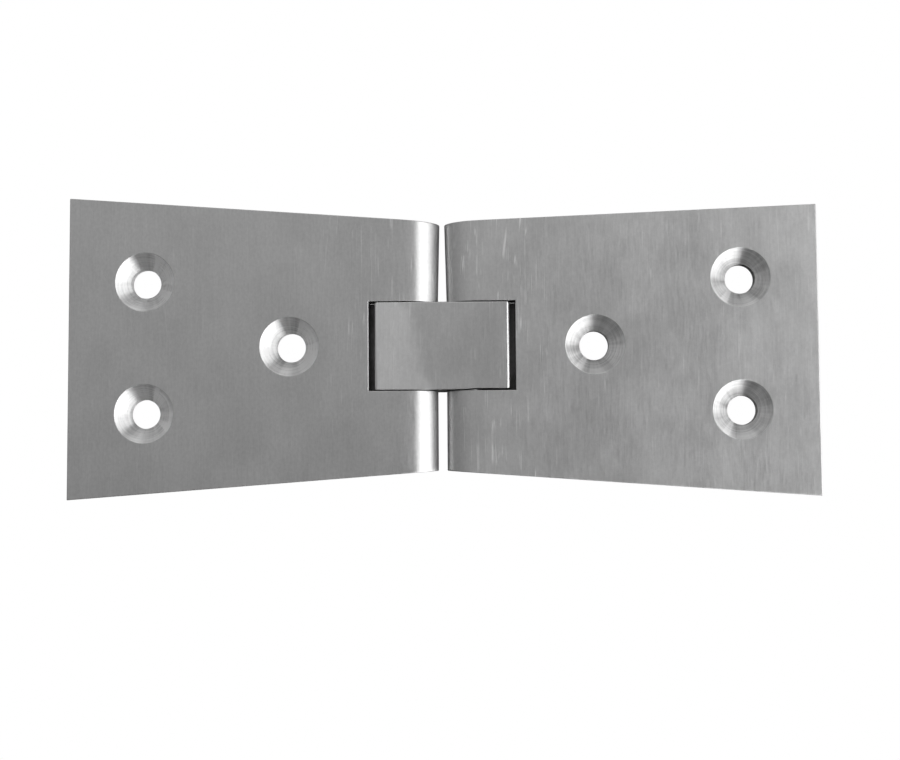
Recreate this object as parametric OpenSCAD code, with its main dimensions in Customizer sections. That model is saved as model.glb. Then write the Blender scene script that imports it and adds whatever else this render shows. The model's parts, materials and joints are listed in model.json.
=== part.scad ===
// Counter-flap hinge: two fishtail leaves joined by a flush centre link on two hidden pins.
// Millimetres, +Z up. Open flat: X runs along the hinge, Y along the joint line.
// The origin is midway between the leaves, level with the lowest line of the knuckles.
// Each leaf turns about its own pin, so the hinge folds by twice 90 degrees, face to face.

/* [Leaves] */
// Length of the hinge, open flat
open_length = 102; // [84:1:130]
// Width of a leaf across its outer end
outer_width = 41.3; // [36:0.1:50]
// Width of a leaf across its joint end
joint_width = 34; // [24:0.1:36]
// How much narrower the right leaf is dressed at the back corner of its outer end
back_corner_trim = 1.7; // [0:0.1:3]
// Thickness of the leaf plate
plate_thickness = 3.2; // [2.6:0.1:3.6]

/* [Knuckles and pins] */
// Gap between the two leaves along the joint
joint_gap = 1.2; // [0.6:0.1:1.4]
// Radius of the knuckles, which run round into the leaf's top face
knuckle_radius = 3.3; // [3.2:0.05:3.5]
// Radius of the hollow corner between a knuckle and the plate's underside
fillet_radius = 1.5; // [0.6:0.1:2]
// Diameter of the pins, and of their tight bores in the leaves
pin_diameter = 3; // [2:0.1:3.6]
// Clearance all round a pin in its running bore in the link
pin_clearance = 0.05; // [0.02:0.01:0.1]

/* [Centre link] */
// Length of the link, across the joint
link_length = 18.4; // [16:0.1:18.4]
// Width of the link, along the joint
link_width = 12; // [8:0.1:16]
// Bevel along the top edge of each end of the link
link_bevel = 0.45; // [0.4:0.05:1]
// Length of the link's foot, which reaches under both leaves and stops them at flat
foot_length = 23; // [20.5:0.1:26]
// Clearance between each side of the link and the notch
notch_side_gap = 0.1; // [0.05:0.05:0.3]
// Clearance between each side of the link's foot and the notch, where it is a closer fit
foot_side_gap = 0.05; // [0.05:0.05:0.3]
// Gap between each end of the link and the notch
notch_end_gap = 0.8; // [0.75:0.05:1.2]
// Depth of the rebate in each leaf's underside that takes an end of the foot
rebate_depth = 0.4; // [0.3:0.05:0.8]
// Clearance above each end of the foot in its rebate
rebate_top_gap = 0.1; // [0.05:0.01:0.2]
// Clearance past each end of the foot in its rebate
rebate_end_gap = 0.2; // [0.15:0.05:0.5]

/* [Screw holes] */
// Diameter of the screw holes
screw_hole_diameter = 4; // [3:0.1:4.6]
// Diameter of a countersink at the top face
countersink_diameter = 8.1; // [7:0.1:8.6]
// Full angle of a countersink
countersink_angle = 90; // [86:1:100]
// Distance from the joint's centre to the single inner hole
inner_hole_x = 20.8; // [17:0.1:30]
// Distance from the joint's centre to the outer pair of holes
outer_hole_x = 40.9; // [36:0.1:42]
// How far the outer pair's countersinks are cut off centre, towards the joint
outer_sink_offset = 0.3; // [0:0.05:0.4]
// Spacing of the outer pair of holes
outer_hole_spacing = 18; // [12:0.5:24]

/* [Hidden] */

$fn = 96;
overcut = 1;  // how far a cutting shape passes a face
top_z = 2 * knuckle_radius;
plate_bottom_z = top_z - plate_thickness;
leaf_end_x = open_length / 2;
leaf_joint_x = joint_gap / 2;
pin_x = leaf_joint_x + knuckle_radius;
pin_z = knuckle_radius;
notch_end_x = link_length / 2 + notch_end_gap;
notch_width = link_width + 2 * notch_side_gap;
rebate_top_z = plate_bottom_z + rebate_depth;
rebate_end_x = foot_length / 2 + rebate_end_gap;
foot_top_z = rebate_top_z - rebate_top_gap;

// Centre of the hollow corner's arc, which runs into the plate's underside and crosses the knuckle
arc_overlap = 0.01;  // how far the two arcs overlap, so that they cross and don't only touch
fillet_z = plate_bottom_z - fillet_radius;
fillet_reach = knuckle_radius + fillet_radius - arc_overlap;
fillet_x = pin_x + sqrt(pow(fillet_reach, 2) - pow(pin_z - fillet_z, 2));

// Depth of a countersink for each millimetre of its radius
countersink_slope = 1 / tan(countersink_angle / 2);

// Plan of one leaf, narrow at the joint and wide at its outer end
module leaf_plan(corner_trim) {
    polygon([
        [leaf_joint_x, -joint_width / 2],
        [leaf_end_x, -outer_width / 2],
        [leaf_end_x, outer_width / 2 - corner_trim],
        [leaf_joint_x, joint_width / 2]
    ]);
}

// Section of one leaf across the joint: round knuckle, hollow corner and flat plate
module leaf_section() {
    translate([pin_x, pin_z]) circle(r = knuckle_radius);
    translate([pin_x, plate_bottom_z]) square([leaf_end_x - pin_x, plate_thickness]);
    difference() {
        polygon([[pin_x, pin_z], [fillet_x, fillet_z], [fillet_x, plate_bottom_z], [pin_x, plate_bottom_z]]);
        translate([fillet_x, fillet_z]) circle(r = fillet_radius);
    }
}

// Section of the link's foot: flat on top, rounded up at its two ends
module foot_section() {
    round_x = foot_length / 2 - knuckle_radius;
    intersection() {
        union() {
            for (side = [-1, 1]) translate([side * round_x, knuckle_radius]) circle(r = knuckle_radius);
            translate([-round_x, 0]) square([2 * round_x, top_z]);
        }
        translate([-foot_length / 2, 0]) square([foot_length, foot_top_z]);
    }
}

// Section of the link's block, which fills the notches and stands on the foot
module block_section() {
    polygon([
        [-link_length / 2, foot_top_z / 2],
        [link_length / 2, foot_top_z / 2],
        [link_length / 2, top_z - link_bevel],
        [link_length / 2 - link_bevel, top_z],
        [-link_length / 2 + link_bevel, top_z],
        [-link_length / 2, top_z - link_bevel]
    ]);
}

// Stands a section drawn in X and Z upright, and gives it a width along Y
module upright(width) {
    rotate([90, 0, 0]) linear_extrude(height = width, center = true) children();
}

// Bar of a given radius along a pin axis, through the whole width
module along_pin(radius) {
    translate([pin_x, 0, pin_z]) rotate([90, 0, 0])
        cylinder(r = radius, h = outer_width + 2 * overcut, center = true);
}

// Straight screw hole, centred on the origin, with its countersink from the leaf's top face down.
// A countersink off centre by sink_offset, towards the joint, is carried down to meet the hole all round.
module screw_hole(sink_offset = 0) {
    hole_radius = screw_hole_diameter / 2;
    tip_radius = hole_radius - 2 * sink_offset;
    cone_height = countersink_slope * (countersink_diameter / 2 + overcut - tip_radius);
    translate([0, 0, -overcut]) cylinder(r = hole_radius, h = top_z + 2 * overcut);
    translate([-sink_offset, 0, top_z + countersink_slope * overcut - cone_height])
        cylinder(r1 = tip_radius, r2 = countersink_diameter / 2 + overcut, h = cone_height);
}

// The leaf on the +X side
module leaf(corner_trim = 0) {
    difference() {
        intersection() {
            upright(outer_width) leaf_section();
            linear_extrude(height = top_z) leaf_plan(corner_trim);
        }
        translate([0, -notch_width / 2, -overcut]) cube([notch_end_x, notch_width, top_z + 2 * overcut]);
        translate([0, -notch_width / 2, -overcut]) cube([rebate_end_x, notch_width, rebate_top_z + overcut]);
        along_pin(pin_diameter / 2);
        translate([inner_hole_x, 0, 0]) screw_hole();
        for (side = [-1, 1]) translate([outer_hole_x, side * outer_hole_spacing / 2, 0])
            screw_hole(outer_sink_offset);
    }
}

// The pin on the +X side, its ends dressed off flush with the leaf's sloping edges
module pin(corner_trim = 0) {
    intersection() {
        along_pin(pin_diameter / 2);
        linear_extrude(height = top_z) leaf_plan(corner_trim);
    }
}

module left_leaf() {
    color("silver") rotate([0, 0, 180]) leaf();
}

module right_leaf() {
    color("silver") leaf(back_corner_trim);
}

module centre_link() {
    color("lightgray") difference() {
        union() {
            upright(link_width) block_section();
            upright(notch_width - 2 * foot_side_gap) foot_section();
        }
        for (turn = [0, 180]) rotate([0, 0, turn]) along_pin(pin_diameter / 2 + pin_clearance);
    }
}

module left_pin() {
    color("dimgray") rotate([0, 0, 180]) pin();
}

module right_pin() {
    color("dimgray") pin(back_corner_trim);
}

left_leaf();
right_leaf();
centre_link();
left_pin();
right_pin();
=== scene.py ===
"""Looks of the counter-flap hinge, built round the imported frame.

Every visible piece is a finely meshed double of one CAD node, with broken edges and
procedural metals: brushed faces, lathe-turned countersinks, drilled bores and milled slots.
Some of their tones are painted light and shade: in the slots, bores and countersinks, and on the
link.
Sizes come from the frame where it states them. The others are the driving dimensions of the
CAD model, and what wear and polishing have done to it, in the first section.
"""

import json
import math

import bmesh
import bpy
from mathutils import Matrix, Vector


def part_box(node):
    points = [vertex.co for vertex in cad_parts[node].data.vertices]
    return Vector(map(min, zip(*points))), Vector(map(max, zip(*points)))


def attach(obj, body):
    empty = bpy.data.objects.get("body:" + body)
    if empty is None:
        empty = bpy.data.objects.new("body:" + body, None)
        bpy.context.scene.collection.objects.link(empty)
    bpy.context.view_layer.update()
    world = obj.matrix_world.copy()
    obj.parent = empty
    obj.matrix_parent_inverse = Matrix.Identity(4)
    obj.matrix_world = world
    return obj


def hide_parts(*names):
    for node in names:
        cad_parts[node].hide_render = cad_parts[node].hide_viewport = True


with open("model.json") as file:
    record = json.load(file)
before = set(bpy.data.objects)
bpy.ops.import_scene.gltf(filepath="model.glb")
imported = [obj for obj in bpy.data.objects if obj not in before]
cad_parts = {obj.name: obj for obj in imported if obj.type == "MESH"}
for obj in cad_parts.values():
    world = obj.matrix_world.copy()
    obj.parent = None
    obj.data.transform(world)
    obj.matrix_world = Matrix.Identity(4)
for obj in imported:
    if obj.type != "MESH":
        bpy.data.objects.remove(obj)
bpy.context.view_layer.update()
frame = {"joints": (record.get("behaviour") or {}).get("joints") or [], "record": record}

MM = 0.001
RECORD = frame["record"]


# ---------------------------------------------------------------- sizes, in metres

def mount(name):
    """One mount of the record, by name."""
    return next(m for m in RECORD["mounts"] if m["name"] == name)


def screw_centres(side):
    """Centres of the screw holes of one leaf, (x, y)."""
    bores = [m for m in RECORD["mounts"] if m["kind"] == "bore" and m["name"].startswith(side)]
    return [Vector(m["pos_m"][:2]) for m in bores]


PIN = Vector(next(j for j in frame["joints"] if j["name"] == "right_pivot")["pos_m"])
LEAF_LOW, LEAF_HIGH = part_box("right_leaf")
LEFT_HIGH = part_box("left_leaf")[1]
LINK_LOW, LINK_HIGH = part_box("centre_link")
PIN_LOW, PIN_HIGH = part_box("right_pin")

TOP_Z = LEAF_HIGH.z
JOINT_X = LEAF_LOW.x
END_X = LEAF_HIGH.x
PLATE_BOTTOM_Z = mount("right_seat")["pos_m"][2]
KNUCKLE_R = TOP_Z / 2
PIN_R = (PIN_HIGH.z - PIN_LOW.z) / 2
PIN_CLEARANCE = 0.05 * MM
LINK_BORE_R = PIN_R + PIN_CLEARANCE
SCREW_R = mount("right_inner_screw")["dims"]["r_mm"] * MM
SINK_R = 4.05 * MM
OUTER_SINK_OFFSET = 0.3 * MM
FILLET_R = 1.5 * MM
OUTER_HALF = LEFT_HIGH.y
JOINT_HALF = 17.0 * MM
CORNER_TRIM = {"left": 0.0, "right": 1.7 * MM}
NOTCH_END_X = 10.0 * MM
NOTCH_HALF = 6.1 * MM
REBATE_END_X = 11.7 * MM
REBATE_DEPTH = 0.4 * MM
REBATE_TOP_Z = PLATE_BOTTOM_Z + REBATE_DEPTH
LINK_HALF = 9.2 * MM
LINK_HALF_WIDTH = 6.0 * MM
LINK_BEVEL = 0.45 * MM
FOOT_CLEARANCE = 0.1 * MM
FOOT_TOP_Z = REBATE_TOP_Z - FOOT_CLEARANCE

# How finely the pieces are meshed, and how near two places may be and still count as one
ARC_STEP_DEG = 3.0
LATHE_STEPS = 120
MARGIN = 1.0 * MM
TOUCH = 0.01 * MM
WELD_GAP = 0.002 * MM

# Broken edges: square ones are rounded by kind, blunt rims of holes all alike
SHARP_DEG = 60.0
WIDEST_EDGE = 0.3 * MM
OUTER_EDGE = 0.15 * MM
INNER_EDGE = 0.12 * MM
LINK_EDGE = 0.18 * MM
HIDDEN_EDGE = 0.02 * MM
EDGE_SEGMENTS = 4
RIM_DEG = 35.0
RIM_EDGE = 0.05 * MM
RIM_SEGMENTS = 2
FLAT_FACE_WEIGHT = 100

# Polishing and wear: the knuckles' crowns and back noses, and the link's front edge (x, wear)
EASE_START_X = 6.3 * MM
EASE_STEPS = 9
EASE_PER_METRE = {"left": 0.031 / MM, "right": 0.021 / MM}
BACK_NOSE_SWELL = 0.27 * MM
LINK_FRONT_WEAR_MM = [
    (-6.0, 0.0),
    (-1.0, 0.0),
    (0.4, 0.02),
    (1.2, 0.01),
    (2.1, 0.05),
    (2.9, 0.04),
    (3.7, 0.09),
    (4.3, 0.15),
    (5.2, 0.13),
    (6.4, 0.14),
    (9.0, 0.12),
]


# ---------------------------------------------------------------- mesh building

def arc(centre_x, centre_z, radius, start_deg, end_deg):
    """Points (x, z) along an arc, both ends included."""
    sweep_deg = end_deg - start_deg
    steps = max(2, round(abs(sweep_deg) / ARC_STEP_DEG))
    angles = [math.radians(start_deg + sweep_deg * i / steps) for i in range(steps + 1)]
    return [(centre_x + radius * math.cos(a), centre_z + radius * math.sin(a)) for a in angles]


def prism(name, outline, low, high, upright=False):
    """A closed prism over a plan outline (x, y), or, upright, over a section outline (x, z)."""
    bm = bmesh.new()
    ends = []
    for level in (low, high):
        points = [(x, level, z) if upright else (x, z, level) for x, z in outline]
        ends.append([bm.verts.new(p) for p in points])
    bm.faces.new(ends[0])
    bm.faces.new(ends[1])
    count = len(outline)
    for i in range(count):
        j = (i + 1) % count
        bm.faces.new((ends[0][i], ends[0][j], ends[1][j], ends[1][i]))
    bmesh.ops.recalc_face_normals(bm, faces=bm.faces)
    return link_mesh(name, bm)


def circle(centre, radius, z):
    """Points of a level circle about (x, y) of the centre."""
    angles = [2 * math.pi * i / LATHE_STEPS for i in range(LATHE_STEPS)]
    return [(centre.x + radius * math.cos(a), centre.y + radius * math.sin(a), z) for a in angles]


def lathe(name, profile, centre):
    """A closed solid of revolution about a vertical axis, from (radius, z) pairs."""
    bm = bmesh.new()
    rings = [[bm.verts.new(p) for p in circle(centre, radius, z)] for radius, z in profile]
    for below, above in zip(rings, rings[1:]):
        for i in range(LATHE_STEPS):
            j = (i + 1) % LATHE_STEPS
            bm.faces.new((below[i], below[j], above[j], above[i]))
    bm.faces.new(rings[0])
    bm.faces.new(rings[-1])
    bmesh.ops.recalc_face_normals(bm, faces=bm.faces)
    return link_mesh(name, bm)


def link_mesh(name, bm):
    """A scene object from a bmesh, which is freed."""
    mesh = bpy.data.meshes.new(name)
    bm.to_mesh(mesh)
    bm.free()
    obj = bpy.data.objects.new(name, mesh)
    bpy.context.scene.collection.objects.link(obj)
    return obj


def box_outline(low_x, high_x, half_y):
    """Plan outline of a rectangle that is symmetric about the X axis."""
    return [(low_x, -half_y), (high_x, -half_y), (high_x, half_y), (low_x, half_y)]


def bake_modifiers(obj):
    """Replaces an object's mesh with its evaluated mesh."""
    depsgraph = bpy.context.evaluated_depsgraph_get()
    mesh = bpy.data.meshes.new_from_object(obj.evaluated_get(depsgraph), depsgraph=depsgraph)
    old = obj.data
    obj.modifiers.clear()
    obj.data = mesh
    bpy.data.meshes.remove(old)


def cut(obj, tools, operation="DIFFERENCE"):
    """Cuts the tools out of obj, or keeps what they share, and deletes them."""
    for tool in tools:
        modifier = obj.modifiers.new("cut", "BOOLEAN")
        modifier.operation = operation
        modifier.solver = "EXACT"
        modifier.object = tool
    bake_modifiers(obj)
    for tool in tools:
        bpy.data.objects.remove(tool)


def round_edges(obj, width_at):
    """Rounds the square edges by width_at(their middle), then the blunt rims by RIM_EDGE."""
    weld = obj.modifiers.new("weld", "WELD")
    weld.merge_threshold = WELD_GAP
    bake_modifiers(obj)
    bm = bmesh.new()
    bm.from_mesh(obj.data)
    weights = bm.edges.layers.float.new("bevel_weight_edge")
    for edge in bm.edges:
        if len(edge.link_faces) == 2 and edge.calc_face_angle() > math.radians(SHARP_DEG):
            middle = (edge.verts[0].co + edge.verts[1].co) / 2
            edge[weights] = width_at(middle) / WIDEST_EDGE
    bm.to_mesh(obj.data)
    bm.free()
    add_bevel(obj, WIDEST_EDGE, EDGE_SEGMENTS, "WEIGHT")
    add_bevel(obj, RIM_EDGE, RIM_SEGMENTS, "ANGLE").angle_limit = math.radians(RIM_DEG)
    bake_modifiers(obj)
    for polygon in obj.data.polygons:
        polygon.use_smooth = True
    normals = obj.modifiers.new("normals", "WEIGHTED_NORMAL")
    normals.mode = "FACE_AREA"
    normals.weight = FLAT_FACE_WEIGHT
    bake_modifiers(obj)


def add_bevel(obj, width, segments, limit):
    """A bevel modifier that keeps its full width at every corner."""
    bevel = obj.modifiers.new("edges", "BEVEL")
    bevel.width = width
    bevel.segments = segments
    bevel.limit_method = limit
    bevel.use_clamp_overlap = False
    bevel.miter_outer = "MITER_ARC"
    return bevel


# ---------------------------------------------------------------- the pieces

def leaf_section(ease):
    """Section (x, z) of the leaf on the +X side: plate, round knuckle and hollow corner."""
    fillet_z = PLATE_BOTTOM_Z - FILLET_R
    reach = KNUCKLE_R + FILLET_R
    fillet_x = PIN.x + math.sqrt(reach**2 - (PIN.z - fillet_z) ** 2)
    contact_deg = math.degrees(math.atan2(fillet_z - PIN.z, fillet_x - PIN.x))
    knuckle = arc(PIN.x, PIN.z, KNUCKLE_R, 90, 360 + contact_deg)
    hollow = arc(fillet_x, fillet_z, FILLET_R, 180 + contact_deg, 90)
    step = (EASE_START_X - PIN.x) / EASE_STEPS
    run_in = [(EASE_START_X - i * step, TOP_Z) for i in range(EASE_STEPS)]
    top = [(x, z - polished_off(x, z, ease)) for x, z in run_in + knuckle]
    return top + hollow[1:] + [(END_X, PLATE_BOTTOM_Z), (END_X, TOP_Z)]


def polished_off(x, z, ease):
    """How much brushing has taken off the crown of the knuckle, so that it starts softly."""
    height = max(0, (z - PIN.z) / KNUCKLE_R)
    return ease * max(0, EASE_START_X - x) ** 2 * height**2


def leaf_plan(side):
    """Plan (x, y) of one side's leaf, before it is turned to its own side."""
    return [
        (JOINT_X, -JOINT_HALF),
        (END_X, -OUTER_HALF),
        (END_X, OUTER_HALF - CORNER_TRIM[side]),
        (JOINT_X, JOINT_HALF),
    ]


def keep_plan(obj, side):
    """Cuts off what lies outside a leaf's plan."""
    cut(obj, [prism("plan", leaf_plan(side), -MARGIN, TOP_Z + MARGIN)], "INTERSECT")


def pin_bar(name, radius):
    """A bar along the pin axis on the +X side, longer than the hinge is wide."""
    half_length = 1.1 * OUTER_HALF
    return prism(name, arc(PIN.x, PIN.z, radius, 0, 360)[:-1], -half_length, half_length, True)


def sink_centre(bore_centre):
    """Centre of a hole's countersink; the outer pair's is a little nearer to the joint."""
    outer = abs(bore_centre.x) > (JOINT_X + END_X) / 2
    offset = math.copysign(OUTER_SINK_OFFSET, bore_centre.x) if outer else 0
    return Vector((bore_centre.x - offset, bore_centre.y))


def screw_tools(centre):
    """What a screw hole and its 90 degree countersink remove."""
    bore = lathe("bore_tool", [(SCREW_R, -MARGIN), (SCREW_R, TOP_Z + MARGIN)], centre)
    tip_r = SCREW_R / 2
    cone = [(tip_r, TOP_Z - (SINK_R - tip_r)), (SINK_R + MARGIN, TOP_Z + MARGIN)]
    return [bore, lathe("sink_tool", cone, sink_centre(centre))]


def place_side(obj, side):
    """Turns a piece made on the +X side round to the -X side, for the left leaf."""
    if side == "left":
        obj.data.transform(Matrix.Rotation(math.pi, 4, "Z"))


def swell_back_noses(obj):
    """Dresses the knuckle's nose forward towards its back end, where the joint's gap narrows."""
    for vertex in obj.data.vertices:
        along = (vertex.co.y - NOTCH_HALF) / (JOINT_HALF - NOTCH_HALF)
        toward_nose = (PIN.x - abs(vertex.co.x)) / KNUCKLE_R
        if along > 0 and toward_nose > 0:
            vertex.co.x -= math.copysign(BACK_NOSE_SWELL * along * toward_nose**2, vertex.co.x)


def leaf_edge_width(point):
    """How far a leaf's edge is rounded at a point: least inside the notch, most across its end."""
    across_end = abs(point.x) > END_X - INNER_EDGE and abs(point.y) < JOINT_HALF
    by_notch = abs(point.x) < REBATE_END_X and abs(point.y) < NOTCH_HALF + INNER_EDGE
    if by_notch and point.z < TOP_Z - INNER_EDGE:
        return HIDDEN_EDGE
    return OUTER_EDGE if across_end else INNER_EDGE


def link_edge_width(point):
    """How far the link's edge is rounded at a point: only its top shows."""
    return LINK_EDGE if point.z > TOP_Z - LINK_BEVEL else HIDDEN_EDGE


def build_leaf(side):
    """One leaf: plate, two knuckles, notch, rebate, pin bore and three screw holes."""
    section = leaf_section(EASE_PER_METRE[side])
    half_length = OUTER_HALF + MARGIN
    leaf = prism(f"{side}_leaf_body", section, -half_length, half_length, True)
    keep_plan(leaf, side)
    tools = [
        prism("notch", box_outline(0, NOTCH_END_X, NOTCH_HALF), -MARGIN, TOP_Z + MARGIN),
        prism("rebate", box_outline(0, REBATE_END_X, NOTCH_HALF), -2 * MARGIN, REBATE_TOP_Z),
        pin_bar("bore", PIN_R),
    ]
    for centre in screw_centres(side):
        tools += screw_tools(Vector((abs(centre.x), centre.y)))
    cut(leaf, tools)
    place_side(leaf, side)
    round_edges(leaf, leaf_edge_width)
    swell_back_noses(leaf)
    return leaf


def build_pin(side):
    """One pivot pin, its ends dressed off with the leaf's sloping edges."""
    pin = pin_bar(f"{side}_pin_body", PIN_R)
    keep_plan(pin, side)
    place_side(pin, side)
    round_edges(pin, lambda point: WIDEST_EDGE)
    return pin


def mirrored(right):
    """A section closed by its own mirror image across the joint."""
    return right + [(-x, z) for x, z in reversed(right)]


def link_plan():
    """Plan (x, y) of the link's block, whose front edge is knocked back a little on its right."""
    front = [(x * MM, wear * MM - LINK_HALF_WIDTH) for x, wear in LINK_FRONT_WEAR_MM]
    left, right = -LINK_HALF - LINK_BEVEL, LINK_HALF + LINK_BEVEL
    ends = [(left, front[0][1])] + front + [(right, front[-1][1])]
    return ends + [(right, LINK_HALF_WIDTH), (left, LINK_HALF_WIDTH)]


def build_link():
    """The centre link: a block on a wider foot, with a running bore for each pin."""
    round_x = LINK_HIGH.x - KNUCKLE_R
    top_deg = math.degrees(math.asin((FOOT_TOP_Z - PIN.z) / KNUCKLE_R))
    foot = mirrored(arc(round_x, PIN.z, KNUCKLE_R, -90, top_deg))
    shoulder = arc(LINK_HALF - LINK_BEVEL, TOP_Z - LINK_BEVEL, LINK_BEVEL, 0, 90)
    block = mirrored([(LINK_HALF, FOOT_TOP_Z / 2)] + shoulder)
    link = prism("centre_link_body", block, -LINK_HIGH.y, LINK_HIGH.y, True)
    cut(link, [prism("plan", link_plan(), 0, TOP_Z + LINK_BEVEL)], "INTERSECT")
    cut(link, [prism("foot", foot, LINK_LOW.y, LINK_HIGH.y, True)], "UNION")
    bores = [pin_bar("right_bore", LINK_BORE_R), pin_bar("left_bore", LINK_BORE_R)]
    place_side(bores[1], "left")
    cut(link, bores)
    round_edges(link, link_edge_width)
    return link


# ---------------------------------------------------------------- metals

# A dark edge tint keeps low views of the metals from washing out
GRAZING_TINT = (0.15, 0.15, 0.15, 1.0)

# Noise patterns: (pattern units to the millimetre along X, Y and Z), detail, roughness. Each
# piece takes its own stretch of them, so many steps along, and noise keeps within the bands.
BRUSHED_STEP = (7.3, 3.1, 5.7)
MILLED_STEP = (3.7, 1.9, 2.3)
NOISE_BAND = (0.3, 0.7)
NARROW_BAND = (0.35, 0.65)
GRAIN = ((7.0, 0.5, 7.0), 4.0, 0.65)
STREAKS = ((2.2, 0.06, 2.2), 3.0, 0.55)
SPECKLE = ((2.6, 2.0, 2.6), 3.0, 0.6)
BLOTCHES = ((0.16, 0.12, 0.16), 3.0, 0.5)
GRIME = ((0.8, 0.8, 0.8), 4.0, 0.6)
CUTTER_MARKS = ((0.4, 0.4, 6.0), 2.0, 0.5)
REFLECTION_WAVE = ((0.3, 0.3, 0.3), 2.0, 0.5)

# How much each pattern lightens or darkens the brushed metal, and changes its roughness
GRAIN_TONE = 0.02
STREAKS_TONE = 0.01
SPECKLE_TONE = 0.025
BLOTCHES_TONE = 0.012
GRAIN_ROUGHNESS = 0.03
BLOTCHES_ROUGHNESS = 0.02
STREAKS_TURN_DEG = 0.6
BRUSHED_ANISOTROPY = 0.6
BRUSHED_DEPTH_MM = 0.0015

# Scratches (turn in degrees, lines to the millimetre), and where handling has made more of them
SCRATCHES = [(1.5, 1.3), (12.0, 0.9), (7.0, 1.1)]
SCRATCH_SHARPNESS = 60.0
SCRATCH_LENGTH = 40
SCRATCH_PATCHES = (0.54, 0.68)
HANDLED_END_X = 10.0 * MM
UNHANDLED_START_X = 18.0 * MM
HANDLED_FACTOR = 5.0

# Turned metal: rings to the millimetre, and the tones of rings and of sectors
RINGS_PER_MM = 4.5
RINGS_DRIFT = (0.25, 0.25, 0.25)
SECTORS_ROUND = 1.8
SECTORS_DRIFT = (0.05, 0.05, 0.05)
TURNED_DETAIL = 3.0
TURNED_NOISE = 0.7
RINGS_TONE = 0.12
SECTORS_TONE = 0.1
RING_DEPTH_MM = 0.012
TURNED_ANISOTROPY = 0.8

# A point this near to a hole's axis is at that hole
HOLE_REACH = 1.3 * SINK_R

# Milled metal, and what noise makes of its tone and of the roughness of turned metal
GRIME_SPREAD = (0.85, 1.15)
TURNED_SPREAD = (0.85, 1.15)
MILLED_ROUGHNESS = (0.5, 0.65)
CUTTER_DEPTH_MM = 0.01

LEAF_TONES = {"left": 0.655, "right": 0.69}
LEAF_WEAR = {"left": 0.045, "right": 0.09}
LEAF_ROUGHNESS = 0.36
# Countersinks: the right side's lower tone is painted shade, the same metal darker where less light
# falls
SINK_TONES_WITH_PAINTED_SHADE = {"left": 0.92, "right": 0.78}
SINK_ROUGHNESS = 0.44
# Slot walls: dark tones painted as the shade inside the slots, darker on the right
NOTCH_SHADE_TONES = {"left": 0.4, "right": 0.25}
# Drilled bores, base tone and roughness: the left bores' bright tone is painted light, the right
# bores' dark tone painted shade
BORE_LIT_AND_SHADED_LOOKS = {"left": (0.75, 0.75), "right": (0.3, 0.5)}
PIN_TONE = 0.5
PIN_WEAR = 0.08
PIN_ROUGHNESS = 0.3
LINK_TONE = 0.685
LINK_WEAR = 0.03
LINK_ROUGHNESS = 0.33
# Sides and foot of the link: a dark tone painted as the shade in the slots
LINK_SIDE_SHADE_TONE = 0.25

# Painted glints (lighter) and painted shade (darker) in sectors of the countersinks: angle and half
# width in degrees, change of tone. Each is full within the inner fraction of its half width and fades
# out at the outer fraction of it.
PAINTED_LIGHT_SECTORS = {
    "left": [(-30.0, 8.0, 0.22), (62.0, 5.0, 0.14), (79.0, 9.0, -0.14)],
    "right": [(-127.0, 7.0, 0.2), (-110.0, 6.0, -0.12)],
}
LIGHT_SECTOR_INNER = 0.6
LIGHT_SECTOR_OUTER = 1.4

# The painted reflection that brightens the left part of the link: the middle of its border, and what
# is added to its tone
REFLECTION_END_X = -3.0 * MM
REFLECTION_INSIDE = 2.2 * MM
REFLECTION_OUTSIDE = 1.6 * MM
REFLECTION_SLANT = 0.27
REFLECTION_SWING = 0.6 * MM
PAINTED_REFLECTION_TONE = 0.25

# Which metal a face of a leaf or of the link has, told partly by how far its normal points up
BRUSHED, TURNED, MILLED, DRILLED = range(4)
LINK_TOP, LINK_SIDE = range(2)
WALL_MOST_UP = 0.5
SINK_LEAST_UP = 0.1
SINK_MOST_UP = 0.95


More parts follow.
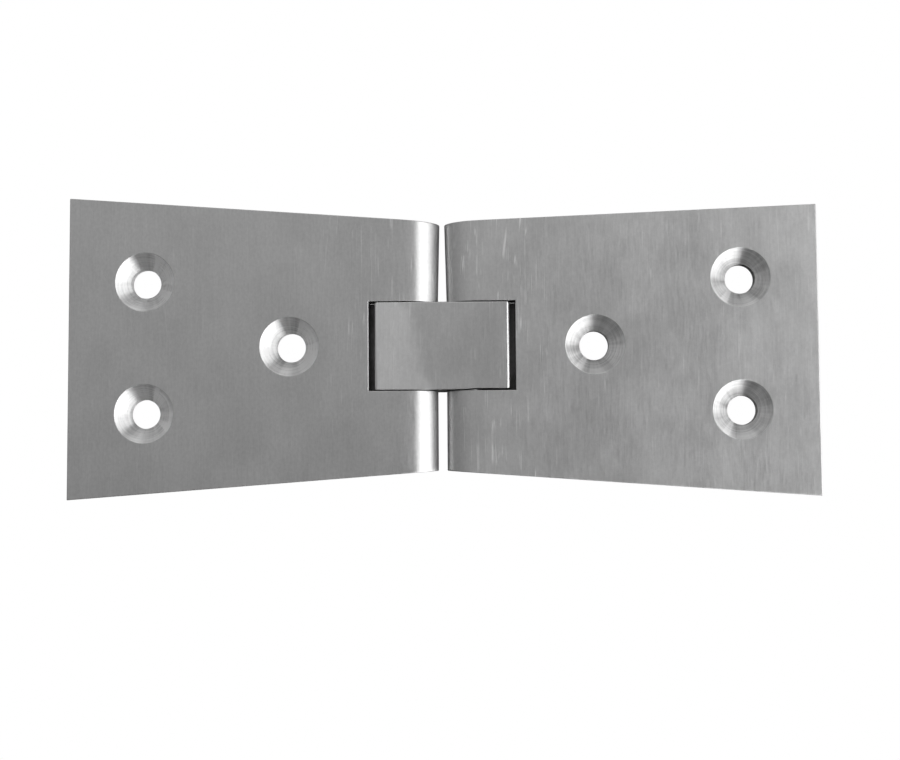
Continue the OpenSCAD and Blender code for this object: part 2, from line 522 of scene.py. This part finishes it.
class Nodes:
    """Short-hand for one metal's node tree."""

    def __init__(self, name):
        self.material = bpy.data.materials.new(name)
        self.material.use_nodes = True
        self.tree = self.material.node_tree
        self.shader = next(n for n in self.tree.nodes if n.type == "BSDF_PRINCIPLED")
        self.shader.inputs["Metallic"].default_value = 1.0
        self.shader.inputs["Specular Tint"].default_value = GRAZING_TINT
        self.coords = self.add("ShaderNodeTexCoord").outputs["Object"]

    def add(self, kind, **settings):
        """A new node with these settings."""
        node = self.tree.nodes.new(kind)
        for key, value in settings.items():
            setattr(node, key, value)
        return node

    def wire(self, value, socket):
        """Links an output to a socket, or sets the socket to a plain value."""
        if isinstance(value, bpy.types.NodeSocket):
            self.tree.links.new(value, socket)
        else:
            socket.default_value = value

    def math(self, operation, a, b=0.0, clamp=False):
        """The result of a sum on one or two outputs or numbers."""
        node = self.add("ShaderNodeMath", operation=operation, use_clamp=clamp)
        self.wire(a, node.inputs[0])
        self.wire(b, node.inputs[1])
        return node.outputs[0]

    def scaled(self, per_mm, turn_deg=0.0, shift=(0.0, 0.0, 0.0)):
        """Object coordinates with so many pattern units to the millimetre along X, Y and Z."""
        node = self.add("ShaderNodeMapping")
        self.wire(self.coords, node.inputs["Vector"])
        node.inputs["Scale"].default_value = [s / MM for s in per_mm]
        node.inputs["Rotation"].default_value = (0, 0, math.radians(turn_deg))
        node.inputs["Location"].default_value = shift
        return node.outputs[0]

    def noise(self, vector, detail, roughness=0.5):
        """Noise at a scaled place."""
        node = self.add("ShaderNodeTexNoise")
        self.wire(vector, node.inputs["Vector"])
        node.inputs["Scale"].default_value = 1.0
        node.inputs["Detail"].default_value = detail
        node.inputs["Roughness"].default_value = roughness
        return node.outputs["Fac"]

    def pattern(self, pattern, shift=(0.0, 0.0, 0.0), turn_deg=0.0):
        """Noise over the piece, from one of the named patterns."""
        per_mm, detail, roughness = pattern
        return self.noise(self.scaled(per_mm, turn_deg, shift), detail, roughness)

    def swing(self, value, change, band=NOISE_BAND):
        """Maps noise to -change..change."""
        return self.ramp(value, *band, -change, change)

    def vector_math(self, operation, *values):
        """A vector sum on outputs or constant vectors; the caller picks its output."""
        node = self.add("ShaderNodeVectorMath", operation=operation)
        for value, socket in zip(values, node.inputs):
            self.wire(value, socket)
        return node

    def ramp(self, value, low, high, to_low=0.0, to_high=1.0):
        """Maps low..high to to_low..to_high, clamped, with soft ends."""
        node = self.add("ShaderNodeMapRange", interpolation_type="SMOOTHSTEP")
        for socket, number in zip(node.inputs, (value, low, high, to_low, to_high)):
            self.wire(number, socket)
        return node.outputs[0]

    def grey(self, value):
        """A neutral colour of this brightness."""
        node = self.add("ShaderNodeCombineColor")
        for socket in node.inputs:
            self.wire(value, socket)
        return node.outputs[0]

    def bump(self, height, depth_mm):
        """The normal of a surface in relief, depth_mm deep."""
        node = self.add("ShaderNodeBump")
        node.inputs["Strength"].default_value = 1.0
        node.inputs["Distance"].default_value = depth_mm * MM
        self.wire(height, node.inputs["Height"])
        return node.outputs[0]


def sum_of(nodes, terms):
    """Adds up outputs and numbers."""
    total = terms[0]
    for term in terms[1:]:
        total = nodes.math("ADD", total, term)
    return total


def scratches(nodes, turn_deg, per_mm, shift):
    """Sparse thin lines that run along Y, turned a little, each a few millimetres long."""
    along = per_mm / SCRATCH_LENGTH
    lines = nodes.noise(nodes.scaled((per_mm, along, per_mm), turn_deg, shift), 1.0)
    off = nodes.math("ABSOLUTE", nodes.math("SUBTRACT", lines, 0.5))
    thin = nodes.math("SUBTRACT", 1.0, nodes.math("MULTIPLY", off, SCRATCH_SHARPNESS), True)
    patches = nodes.noise(nodes.scaled((per_mm / 2, per_mm / 6, per_mm / 2), turn_deg, shift), 2.0)
    return nodes.math("MULTIPLY", thin, nodes.ramp(patches, *SCRATCH_PATCHES))


def brushed_metal(name, base, roughness, seed, wear, painted_reflection=None):
    """Satin metal brushed along Y: fine grain, streaks, blotches, more scratches near the joint."""
    nodes = Nodes(name)
    shift = [seed * step for step in BRUSHED_STEP]
    grain = nodes.pattern(GRAIN, shift)
    blotches = nodes.pattern(BLOTCHES, shift)
    lines = [scratches(nodes, turn, per_mm, (seed + turn, 2.0, 1.0)) for turn, per_mm in SCRATCHES]
    marks = sum_of(nodes, lines)
    parts = nodes.add("ShaderNodeSeparateXYZ")
    nodes.wire(nodes.coords, parts.inputs[0])
    from_joint = nodes.math("ABSOLUTE", parts.outputs["X"])
    handled = nodes.ramp(from_joint, HANDLED_END_X, UNHANDLED_START_X, HANDLED_FACTOR, 1.0)
    terms = [
        nodes.swing(grain, GRAIN_TONE),
        nodes.swing(nodes.pattern(STREAKS, shift, STREAKS_TURN_DEG), STREAKS_TONE),
        nodes.swing(nodes.pattern(SPECKLE, shift), SPECKLE_TONE),
        nodes.swing(blotches, BLOTCHES_TONE, NARROW_BAND),
        nodes.math("MULTIPLY", marks, nodes.math("MULTIPLY", handled, wear)),
        base,
    ]
    # The link's painted reflection, where one is given, is added to the tone
    if painted_reflection is not None:
        terms.append(painted_reflection(nodes))
    nodes.wire(nodes.grey(sum_of(nodes, terms)), nodes.shader.inputs["Base Color"])
    changes = [nodes.swing(grain, GRAIN_ROUGHNESS), nodes.swing(blotches, BLOTCHES_ROUGHNESS)]
    nodes.wire(sum_of(nodes, changes + [roughness]), nodes.shader.inputs["Roughness"])
    surface = nodes.math("SUBTRACT", nodes.math("MULTIPLY", grain, 0.5), marks)
    nodes.wire(nodes.bump(surface, BRUSHED_DEPTH_MM), nodes.shader.inputs["Normal"])
    across = nodes.add("ShaderNodeCombineXYZ")
    across.inputs["X"].default_value = 1.0
    nodes.wire(across.outputs[0], nodes.shader.inputs["Tangent"])
    nodes.shader.inputs["Anisotropic"].default_value = BRUSHED_ANISOTROPY
    return nodes.material


def milled_metal(name, base, seed):
    """Walls of a slot, given a dark tone as painted shade: dull, dark in places, with faint cutter
    marks.
    """
    nodes = Nodes(name)
    shift = [seed * step for step in MILLED_STEP]
    cuts = nodes.pattern(CUTTER_MARKS, shift)
    tones = [base * factor for factor in GRIME_SPREAD]
    tone = nodes.ramp(nodes.pattern(GRIME, shift), *NOISE_BAND, *tones)
    nodes.wire(nodes.grey(tone), nodes.shader.inputs["Base Color"])
    rough = nodes.ramp(cuts, *NOISE_BAND, *MILLED_ROUGHNESS)
    nodes.wire(rough, nodes.shader.inputs["Roughness"])
    nodes.wire(nodes.bump(cuts, CUTTER_DEPTH_MM), nodes.shader.inputs["Normal"])
    return nodes.material


def away_from_hole(nodes, centres):
    """Horizontal vector from the axis of whichever screw hole the point is at."""
    total = (0.0, 0.0, 0.0)
    for centre in centres:
        away = nodes.vector_math("SUBTRACT", nodes.coords, (centre.x, centre.y, 0.0))
        flat = nodes.vector_math("MULTIPLY", away.outputs[0], (1.0, 1.0, 0.0))
        reach = nodes.vector_math("LENGTH", flat.outputs[0])
        here = nodes.math("LESS_THAN", reach.outputs["Value"], HOLE_REACH)
        kept = nodes.add("ShaderNodeVectorMath", operation="SCALE")
        nodes.wire(flat.outputs[0], kept.inputs[0])
        nodes.wire(here, kept.inputs["Scale"])
        total = nodes.vector_math("ADD", total, kept.outputs[0]).outputs[0]
    return total


def painted_light_sector(nodes, way, angle_deg, half_width_deg, change):
    """A narrow sector of a countersink with a painted glint where change is positive, painted shade
    where it is negative.
    """
    angle = math.radians(angle_deg)
    aim = nodes.vector_math("DOT_PRODUCT", way, (math.cos(angle), math.sin(angle), 0.0))
    outer = math.cos(math.radians(LIGHT_SECTOR_OUTER * half_width_deg))
    inner = math.cos(math.radians(LIGHT_SECTOR_INNER * half_width_deg))
    return nodes.ramp(aim.outputs["Value"], outer, inner, 0.0, change)


def turned_metal(name, base, roughness, centres, painted_light_sectors=()):
    """Metal cut by a countersink or a drill: fine rings about each hole, chatter in sectors, painted
    glints and shade in the given sectors.
    """
    nodes = Nodes(name)
    away = away_from_hole(nodes, centres)
    reach = nodes.vector_math("LENGTH", away).outputs["Value"]
    way = nodes.vector_math("NORMALIZE", away).outputs[0]
    rise = nodes.add("ShaderNodeCombineXYZ")
    nodes.wire(reach, rise.inputs["Z"])
    slope = nodes.vector_math("ADD", away, rise.outputs[0])
    turn = nodes.add("ShaderNodeCombineXYZ")
    nodes.wire(nodes.math("MULTIPLY", reach, RINGS_PER_MM / MM), turn.inputs["X"])
    ring_place = nodes.vector_math("ADD", turn.outputs[0], nodes.scaled(RINGS_DRIFT))
    rings = nodes.noise(ring_place.outputs[0], TURNED_DETAIL, TURNED_NOISE)
    round_hole = (SECTORS_ROUND, SECTORS_ROUND, SECTORS_ROUND)
    sector_place = nodes.vector_math("MULTIPLY_ADD", way, round_hole, nodes.scaled(SECTORS_DRIFT))
    sectors = nodes.noise(sector_place.outputs[0], TURNED_DETAIL, TURNED_NOISE)
    terms = [nodes.swing(rings, RINGS_TONE), nodes.swing(sectors, SECTORS_TONE, NARROW_BAND)]
    # Painted glints and painted shade in the listed sectors of each countersink
    terms += [painted_light_sector(nodes, way, *sector) for sector in painted_light_sectors]
    nodes.wire(nodes.grey(sum_of(nodes, terms + [base])), nodes.shader.inputs["Base Color"])
    spread = [roughness * factor for factor in TURNED_SPREAD]
    rough = nodes.ramp(sectors, *NOISE_BAND, *spread)
    nodes.wire(rough, nodes.shader.inputs["Roughness"])
    nodes.wire(nodes.bump(rings, RING_DEPTH_MM), nodes.shader.inputs["Normal"])
    nodes.wire(slope.outputs[0], nodes.shader.inputs["Tangent"])
    nodes.shader.inputs["Anisotropic"].default_value = TURNED_ANISOTROPY
    return nodes.material


def paint(obj, materials, choose):
    """Gives each face the material whose number choose(face) returns."""
    obj.data.materials.clear()
    for material in materials:
        obj.data.materials.append(material)
    for polygon in obj.data.polygons:
        polygon.material_index = choose(polygon)


def leaf_zone(side):
    """Returns a function that tells which metal a face of this side's leaf has."""
    bores = screw_centres(side)
    sinks = [sink_centre(c) for c in bores]

    def choose(face):
        middle = face.center
        from_bore = min((middle.xy - c).length for c in bores)
        if from_bore < SCREW_R + TOUCH and abs(face.normal.z) < WALL_MOST_UP:
            return DRILLED
        from_sink = min((middle.xy - c).length for c in sinks)
        sloping = SINK_LEAST_UP < face.normal.z < SINK_MOST_UP
        if sloping and from_sink < SINK_R - RIM_EDGE / 2:
            return TURNED
        between = abs(middle.y) < NOTCH_HALF + TOUCH
        in_notch = between and abs(middle.x) < NOTCH_END_X + TOUCH
        over_foot = between and abs(middle.x) < REBATE_END_X + TOUCH
        in_rebate = over_foot and middle.z < REBATE_TOP_Z + TOUCH
        return MILLED if in_notch or in_rebate else BRUSHED

    return choose


def link_zone(face):
    """Tells the brushed top of the link from its milled sides and foot."""
    return LINK_TOP if face.center.z > TOP_Z - LINK_BEVEL - TOUCH else LINK_SIDE


def link_painted_reflection(nodes):
    """A painted reflection that brightens the link's left part, with a soft slanting border."""
    parts = nodes.add("ShaderNodeSeparateXYZ")
    nodes.wire(nodes.coords, parts.inputs[0])
    wave = nodes.swing(nodes.pattern(REFLECTION_WAVE), REFLECTION_SWING)
    slant = nodes.math("MULTIPLY", parts.outputs["Y"], REFLECTION_SLANT)
    place = sum_of(nodes, [parts.outputs["X"], slant, wave])
    return nodes.ramp(place, REFLECTION_END_X - REFLECTION_INSIDE, REFLECTION_END_X + REFLECTION_OUTSIDE, PAINTED_REFLECTION_TONE, 0.0)


# ---------------------------------------------------------------- assembly

def assemble(piece, node, body):
    """Makes a piece stand for its CAD node and move with its body."""
    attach(piece, body)
    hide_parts(node)


def leaf_metals(side, number):
    """The four metals of one leaf, in the order of BRUSHED, TURNED, MILLED and DRILLED."""
    bores = screw_centres(side)
    sinks = [sink_centre(c) for c in bores]
    tone, wear = LEAF_TONES[side], LEAF_WEAR[side]
    return [
        brushed_metal(f"{side}_leaf_metal", tone, LEAF_ROUGHNESS, number, wear),
        turned_metal(f"{side}_hole_painted_light_metal", SINK_TONES_WITH_PAINTED_SHADE[side], SINK_ROUGHNESS, sinks, PAINTED_LIGHT_SECTORS[side]),
        milled_metal(f"{side}_notch_shaded_metal", NOTCH_SHADE_TONES[side], number),
        turned_metal(f"{side}_bore_painted_light_metal", *BORE_LIT_AND_SHADED_LOOKS[side], bores),
    ]


for number, side in ((1, "left"), (2, "right")):
    leaf = build_leaf(side)
    paint(leaf, leaf_metals(side, number), leaf_zone(side))
    assemble(leaf, f"{side}_leaf", f"{side}_side")
    pin = build_pin(side)
    plain = brushed_metal(f"{side}_pin_metal", PIN_TONE, PIN_ROUGHNESS, number + 4, PIN_WEAR)
    paint(pin, [plain], lambda face: 0)
    assemble(pin, f"{side}_pin", f"{side}_side")

link = build_link()
# The link's top carries a painted reflection on its left part
link_top = brushed_metal("link_metal", LINK_TONE, LINK_ROUGHNESS, 9, LINK_WEAR, link_painted_reflection)
link_side = milled_metal("link_side_shaded_metal", LINK_SIDE_SHADE_TONE, 7)
paint(link, [link_top, link_side], link_zone)
assemble(link, "centre_link", "middle")


# ---------------------------------------------------------------- floor, light and camera

FLOOR_HALF = 3.0
FLOOR_Z = -0.05 * MM

# Levels of the surroundings along an axis of the direction: (axis, from, to, level, level)
SIDE_LEVELS = ("Y", -0.25, 0.25, 0.18, 0.46)
RIGHT_LEVELS = ("X", 0.03, 0.3, 0.0, -0.36)
UPWARD_FACTORS = ("Z", 0.3, 0.8, 0.66, 1.0)
GROUND_LEVELS = ("Z", -0.55, -0.2, 0.24, 0.0)

# Soft lights: name, place, point faced, width, height, radiance
PANELS = [
    ("front_window", (0.3425, -0.377, 0.275), (-0.056, -0.28, 0.275), 0.83, 0.69, 2.6),
    ("back_window", (0.44, 0.265, 0.40), (0.0, 0.265, 0.40), 0.47, 0.44, 2.7),
    ("side_light", (0.12, 0.45, 0.15), (0.0, 0.0, 0.15), 0.5, 0.3, 0.6),
]

CAMERA_PLACE = Vector((3.56 * MM, -14.83 * MM, TOP_Z + 169.1 * MM))
CAMERA_PITCH, CAMERA_YAW, CAMERA_ROLL = -0.0598, -0.0148, 0.0075
SENSOR_MM, LENS_MM = 36.0, 50.0
CLIP_START = 10 * MM


def combine(tree, operation, first, second):
    """A maths node fed with two outputs."""
    node = tree.nodes.new("ShaderNodeMath")
    node.operation = operation
    tree.links.new(first, node.inputs[0])
    tree.links.new(second, node.inputs[1])
    return node


def mix_shaders(tree, factor, first, second, out):
    """Wires a mix of two shaders to the material's or the world's output."""
    mix = tree.nodes.new("ShaderNodeMixShader")
    for value, socket in zip((factor, first, second), mix.inputs):
        tree.links.new(value, socket)
    tree.links.new(mix.outputs[0], out.inputs["Surface"])


def build_floor():
    """A plain white sheet that only the camera sees, and only from above."""
    bm = bmesh.new()
    corners = box_outline(-FLOOR_HALF, FLOOR_HALF, FLOOR_HALF)
    bm.faces.new([bm.verts.new((x, y, FLOOR_Z)) for x, y in corners])
    floor = link_mesh("floor", bm)
    material = bpy.data.materials.new("white_sheet")
    material.use_nodes = True
    tree = material.node_tree
    tree.nodes.clear()
    path = tree.nodes.new("ShaderNodeLightPath")
    sheet = tree.nodes.new("ShaderNodeNewGeometry")
    seen = combine(tree, "SUBTRACT", path.outputs["Is Camera Ray"], sheet.outputs["Backfacing"])
    seen.use_clamp = True
    clear = tree.nodes.new("ShaderNodeBsdfTransparent")
    glow = tree.nodes.new("ShaderNodeEmission")
    out = tree.nodes.new("ShaderNodeOutputMaterial")
    mix_shaders(tree, seen.outputs[0], clear.outputs[0], glow.outputs[0], out)
    floor.data.materials.append(material)


def level_ramp(tree, parts, levels):
    """Level of the surroundings along one axis of the direction."""
    axis, low, high, at_low, at_high = levels
    ramp = tree.nodes.new("ShaderNodeMapRange")
    tree.links.new(parts.outputs[axis], ramp.inputs["Value"])
    ramp.inputs["From Min"].default_value = low
    ramp.inputs["From Max"].default_value = high
    ramp.inputs["To Min"].default_value = at_low
    ramp.inputs["To Max"].default_value = at_high
    return ramp.outputs[0]


def build_world():
    """Grey surroundings, darker to the front and right, on pale ground; white to the camera."""
    world = bpy.data.worlds.new("studio")
    world.use_nodes = True
    bpy.context.scene.world = world
    tree = world.node_tree
    coords = tree.nodes.new("ShaderNodeTexCoord")
    parts = tree.nodes.new("ShaderNodeSeparateXYZ")
    tree.links.new(coords.outputs["Generated"], parts.inputs[0])
    side = level_ramp(tree, parts, SIDE_LEVELS)
    right = level_ramp(tree, parts, RIGHT_LEVELS)
    across = combine(tree, "ADD", side, right)
    level = combine(tree, "MULTIPLY", across.outputs[0], level_ramp(tree, parts, UPWARD_FACTORS))
    lit = combine(tree, "MAXIMUM", level.outputs[0], level_ramp(tree, parts, GROUND_LEVELS))
    grey = tree.nodes.new("ShaderNodeCombineColor")
    for socket in grey.inputs:
        tree.links.new(lit.outputs[0], socket)
    room = next(n for n in tree.nodes if n.type == "BACKGROUND")
    tree.links.new(grey.outputs[0], room.inputs["Color"])
    white = tree.nodes.new("ShaderNodeBackground")
    white.inputs["Color"].default_value = (1, 1, 1, 1)
    path = tree.nodes.new("ShaderNodeLightPath")
    out = next(n for n in tree.nodes if n.type == "OUTPUT_WORLD")
    mix_shaders(tree, path.outputs["Is Camera Ray"], room.outputs[0], white.outputs[0], out)


def add_panel(name, place, target, width, height, radiance):
    """A soft box of even radiance that faces a point."""
    light = bpy.data.lights.new(name, "AREA")
    light.shape = "RECTANGLE"
    light.size = width
    light.size_y = height
    light.energy = radiance * math.pi * width * height
    obj = bpy.data.objects.new(name, light)
    bpy.context.scene.collection.objects.link(obj)
    obj.location = place
    obj.rotation_euler = (Vector(target) - Vector(place)).to_track_quat("-Z", "Y").to_euler()
    obj.visible_camera = False


def add_camera():
    """The photograph's view: nearly straight down, from a hand's breadth above."""
    camera = bpy.data.cameras.new("camera")
    camera.sensor_width = SENSOR_MM
    camera.lens = LENS_MM
    camera.clip_start = CLIP_START
    obj = bpy.data.objects.new("camera", camera)
    bpy.context.scene.collection.objects.link(obj)
    pitch = Matrix.Rotation(CAMERA_PITCH, 3, "X")
    yaw = Matrix.Rotation(CAMERA_YAW, 3, "Y")
    roll = Matrix.Rotation(CAMERA_ROLL, 3, "Z")
    turn = (roll @ yaw @ pitch).transposed().to_4x4()
    obj.matrix_world = Matrix.Translation(CAMERA_PLACE) @ turn
    bpy.context.scene.camera = obj


build_floor()
build_world()
for panel in PANELS:
    add_panel(*panel)
add_camera()
bpy.context.scene.view_settings.view_transform = "Standard"
